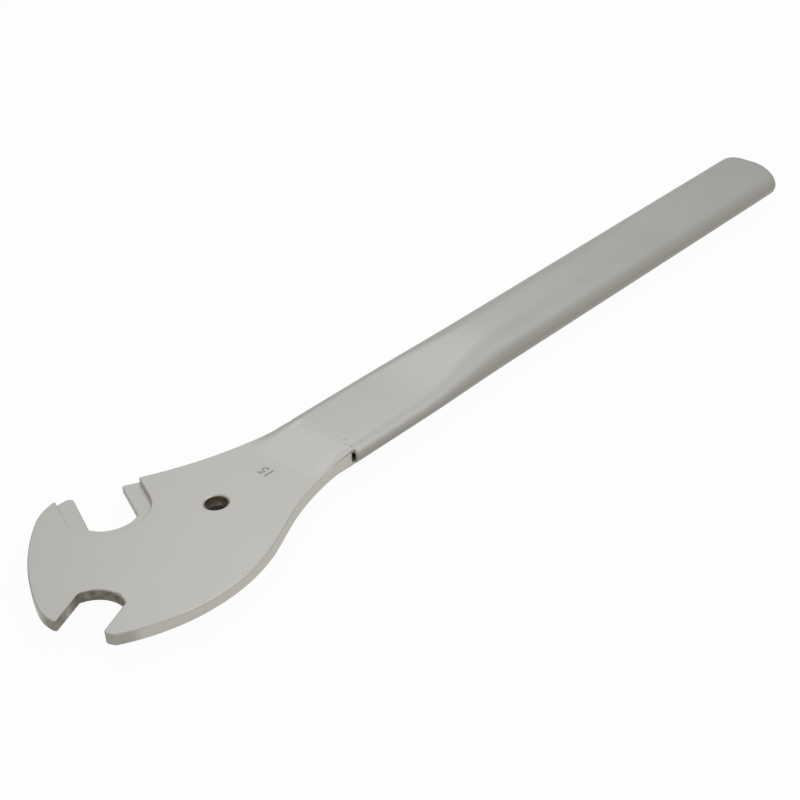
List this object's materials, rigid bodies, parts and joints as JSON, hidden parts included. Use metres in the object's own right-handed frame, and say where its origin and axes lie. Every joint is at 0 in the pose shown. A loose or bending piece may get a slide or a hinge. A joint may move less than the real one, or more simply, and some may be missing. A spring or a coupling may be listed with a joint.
{
  "type": "pedal wrench",
  "caption": "Flat steel wrench head with open-ended jaws at two angles and a hanging hole, welded to a long oval tube handle.",
  "frame": {"origin": "centre of the hanging hole, on the middle plane of the head plate", "axes": "+X runs along the handle, away from the head; +Z is normal to the plate, on the side where the side jaw is relieved; +Y completes the frame, on the side jaw's side"},
  "size_m": [0.3488, 0.0728, 0.0144],
  "materials": {
    "plated_plate": "satin nickel plating on a blanked steel plate",
    "plated_tube": "satin nickel plating on drawn steel tube",
    "plated_weld": "ground weld under the same satin plating"
  },
  "bodies": {
    "root": {"head_plate": "plated_plate", "handle_tube": "plated_tube", "weld_seam": "plated_weld"}
  },
  "joints": []
}
